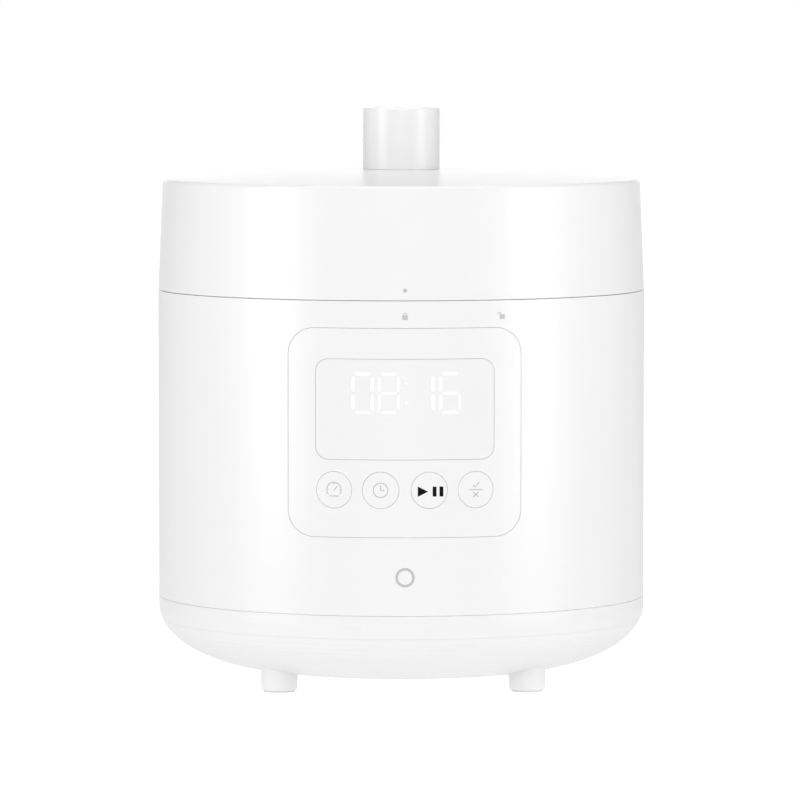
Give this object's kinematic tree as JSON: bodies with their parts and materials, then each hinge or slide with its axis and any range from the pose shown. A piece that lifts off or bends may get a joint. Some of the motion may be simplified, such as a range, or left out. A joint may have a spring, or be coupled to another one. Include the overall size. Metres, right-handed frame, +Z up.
{
  "type": "electric pressure cooker",
  "caption": "Round white electric pressure cooker with a bayonet lid, a central release knob, a front display and four keys, on four feet.",
  "frame": {"origin": "on the table under the body's axis, level with the foot pads", "axes": "+Z up, -Y out of the front with the display, +X to the right seen from the front"},
  "size_m": [0.232, 0.232, 0.2735],
  "materials": {
    "gloss_white": "high gloss",
    "key_white": "gloss",
    "display_window": "gloss",
    "inner_plastic": "satin",
    "foot_rubber": "matte",
    "stainless_steel": "brushed",
    "fibre_wool": "fibrous",
    "cast_aluminium": "machined rings",
    "element_sheath": "matt oxide",
    "spring_steel": "satin",
    "sensor_aluminium": "satin",
    "turned_metal": "turned",
    "zinc_steel": "zinc plated",
    "ceramic": "glazed ceramic",
    "black_plastic": "moulded",
    "display_black": "gloss",
    "grey_plastic": "moulded",
    "circuit_board": "solder mask",
    "transformer_yellow": "tape",
    "relay_blue": "moulded",
    "terminal_green": "moulded",
    "plated_brass": "nickel plated",
    "lead_white": "extruded",
    "lead_red": "extruded",
    "ribbon_grey": "extruded",
    "clear_cup": "clear",
    "pot_coating": "non-stick coating",
    "silicone": "satin silicone",
    "seal_red": "satin silicone",
    "magnet": "nickel plated"
  },
  "bodies": {
    "cooker": {"outer_shell": "gloss_white", "rim_collar": "inner_plastic", "base_ring": "gloss_white", "base_bowl": "gloss_white", "feet": "gloss_white", "foot_pads": "foot_rubber", "heating_chamber": "stainless_steel", "insulation_sleeve": "fibre_wool", "heating_plate": "cast_aluminium", "heating_element": "element_sheath", "plate_supports": "spring_steel", "sensor_bracket": "stainless_steel", "sensor_guide": "stainless_steel", "sensor_spring": "spring_steel", "thermostat": "ceramic", "thermal_fuse": "ceramic", "pressure_switch": "black_plastic", "tie_columns": "zinc_steel", "base_screws": "zinc_steel", "control_panel": "gloss_white", "display_lens": "display_window", "board_carrier": "grey_plastic", "control_board": "circuit_board", "display_module": "display_black", "key_switches": "black_plastic", "lid_sensor": "black_plastic", "power_board": "circuit_board", "transformer": "transformer_yellow", "relay": "relay_blue", "terminal_block": "terminal_green", "power_inlet": "black_plastic", "inlet_pins": "plated_brass", "mains_leads": "lead_white", "heater_leads": "lead_red", "panel_cable": "ribbon_grey", "cup_pocket": "inner_plastic"},
    "pot": {"inner_pot": "pot_coating"},
    "seal": {"sealing_ring": "silicone"},
    "lid": {"lid_cover": "gloss_white", "lid_liner": "inner_plastic", "lid_screws": "zinc_steel", "steel_lid": "stainless_steel", "ring_retainer": "stainless_steel", "vent_pipe": "turned_metal", "screen_cap": "stainless_steel", "lid_magnet": "magnet", "button_spring": "spring_steel", "knob_shell": "gloss_white", "knob_core": "inner_plastic"},
    "rocker": {"rocker_lever": "black_plastic"},
    "button": {"release_button": "gloss_white"},
    "weight": {"pressure_weight": "turned_metal"},
    "float": {"float_valve": "turned_metal", "float_seal": "seal_red"},
    "cup": {"condensate_cup": "clear_cup"},
    "sensor": {"sensor_cap": "sensor_aluminium"},
    "key_pressure": {"key_pressure": "key_white"},
    "key_timer": {"key_timer": "key_white"},
    "key_start": {"key_start": "key_white"},
    "key_select": {"key_select": "key_white"}
  },
  "joints": [
    {"name": "lid_lift", "type": "slide", "parent": "cooker", "child": "seal", "axis": [0, 0, 1], "range_m": [0, 0.3]},
    {"name": "lid_turn", "type": "hinge", "parent": "seal", "child": "lid", "pos_m": [0, 0, 0.1871], "axis": [0, 0, 1], "range_deg": [0, 22.5]},
    {"name": "pot_lift", "type": "slide", "parent": "cooker", "child": "pot", "axis": [0, 0, 1], "range_m": [0, 0.15]},
    {"name": "button_press", "type": "slide", "parent": "lid", "child": "button", "axis": [0, 0, -1], "range_m": [0, 0.002], "stiffness_N_per_m": 1500, "springref_m": -0.002, "deforming": ["button_spring"]},
    {"name": "rocker_tilt", "type": "hinge", "parent": "lid", "child": "rocker", "pos_m": [0.004, 0, 0.2531], "axis": [0, 1, 0], "range_deg": [0, 17.2]},
    {"name": "weight_lift", "type": "slide", "parent": "lid", "child": "weight", "axis": [0, 0, 1], "range_m": [0, 0.0032]},
    {"name": "float_rise", "type": "slide", "parent": "lid", "child": "float", "axis": [0, 0, 1], "range_m": [0, 0.004]},
    {"name": "key_pressure_press", "type": "slide", "parent": "cooker", "child": "key_pressure", "axis": [0.2865, 0.9581, 0], "range_m": [0, 0.0008], "stiffness_N_per_m": 800, "springref_m": -0.001},
    {"name": "key_timer_press", "type": "slide", "parent": "cooker", "child": "key_timer", "axis": [0.0967, 0.9953, 0], "range_m": [0, 0.0008], "stiffness_N_per_m": 800, "springref_m": -0.001},
    {"name": "key_start_press", "type": "slide", "parent": "cooker", "child": "key_start", "axis": [-0.0967, 0.9953, 0], "range_m": [0, 0.0008], "stiffness_N_per_m": 800, "springref_m": -0.001},
    {"name": "key_select_press", "type": "slide", "parent": "cooker", "child": "key_select", "axis": [-0.2865, 0.9581, 0], "range_m": [0, 0.0008], "stiffness_N_per_m": 800, "springref_m": -0.001},
    {"name": "cup_slide", "type": "slide", "parent": "cooker", "child": "cup", "axis": [0, 1, 0], "range_m": [0, 0.04]},
    {"name": "sensor_press", "type": "slide", "parent": "cooker", "child": "sensor", "axis": [0, 0, -1], "range_m": [0, 0.002], "stiffness_N_per_m": 900, "springref_m": -0.003, "deforming": ["sensor_spring"]}
  ],
  "couplings": [
    {"joint": "pot_lift", "follows": "lid_lift", "ratio": 0.5},
    {"joint": "rocker_tilt", "follows": "button_press", "rad_per_m": 150},
    {"joint": "weight_lift", "follows": "button_press", "ratio": 1.6}
  ]
}
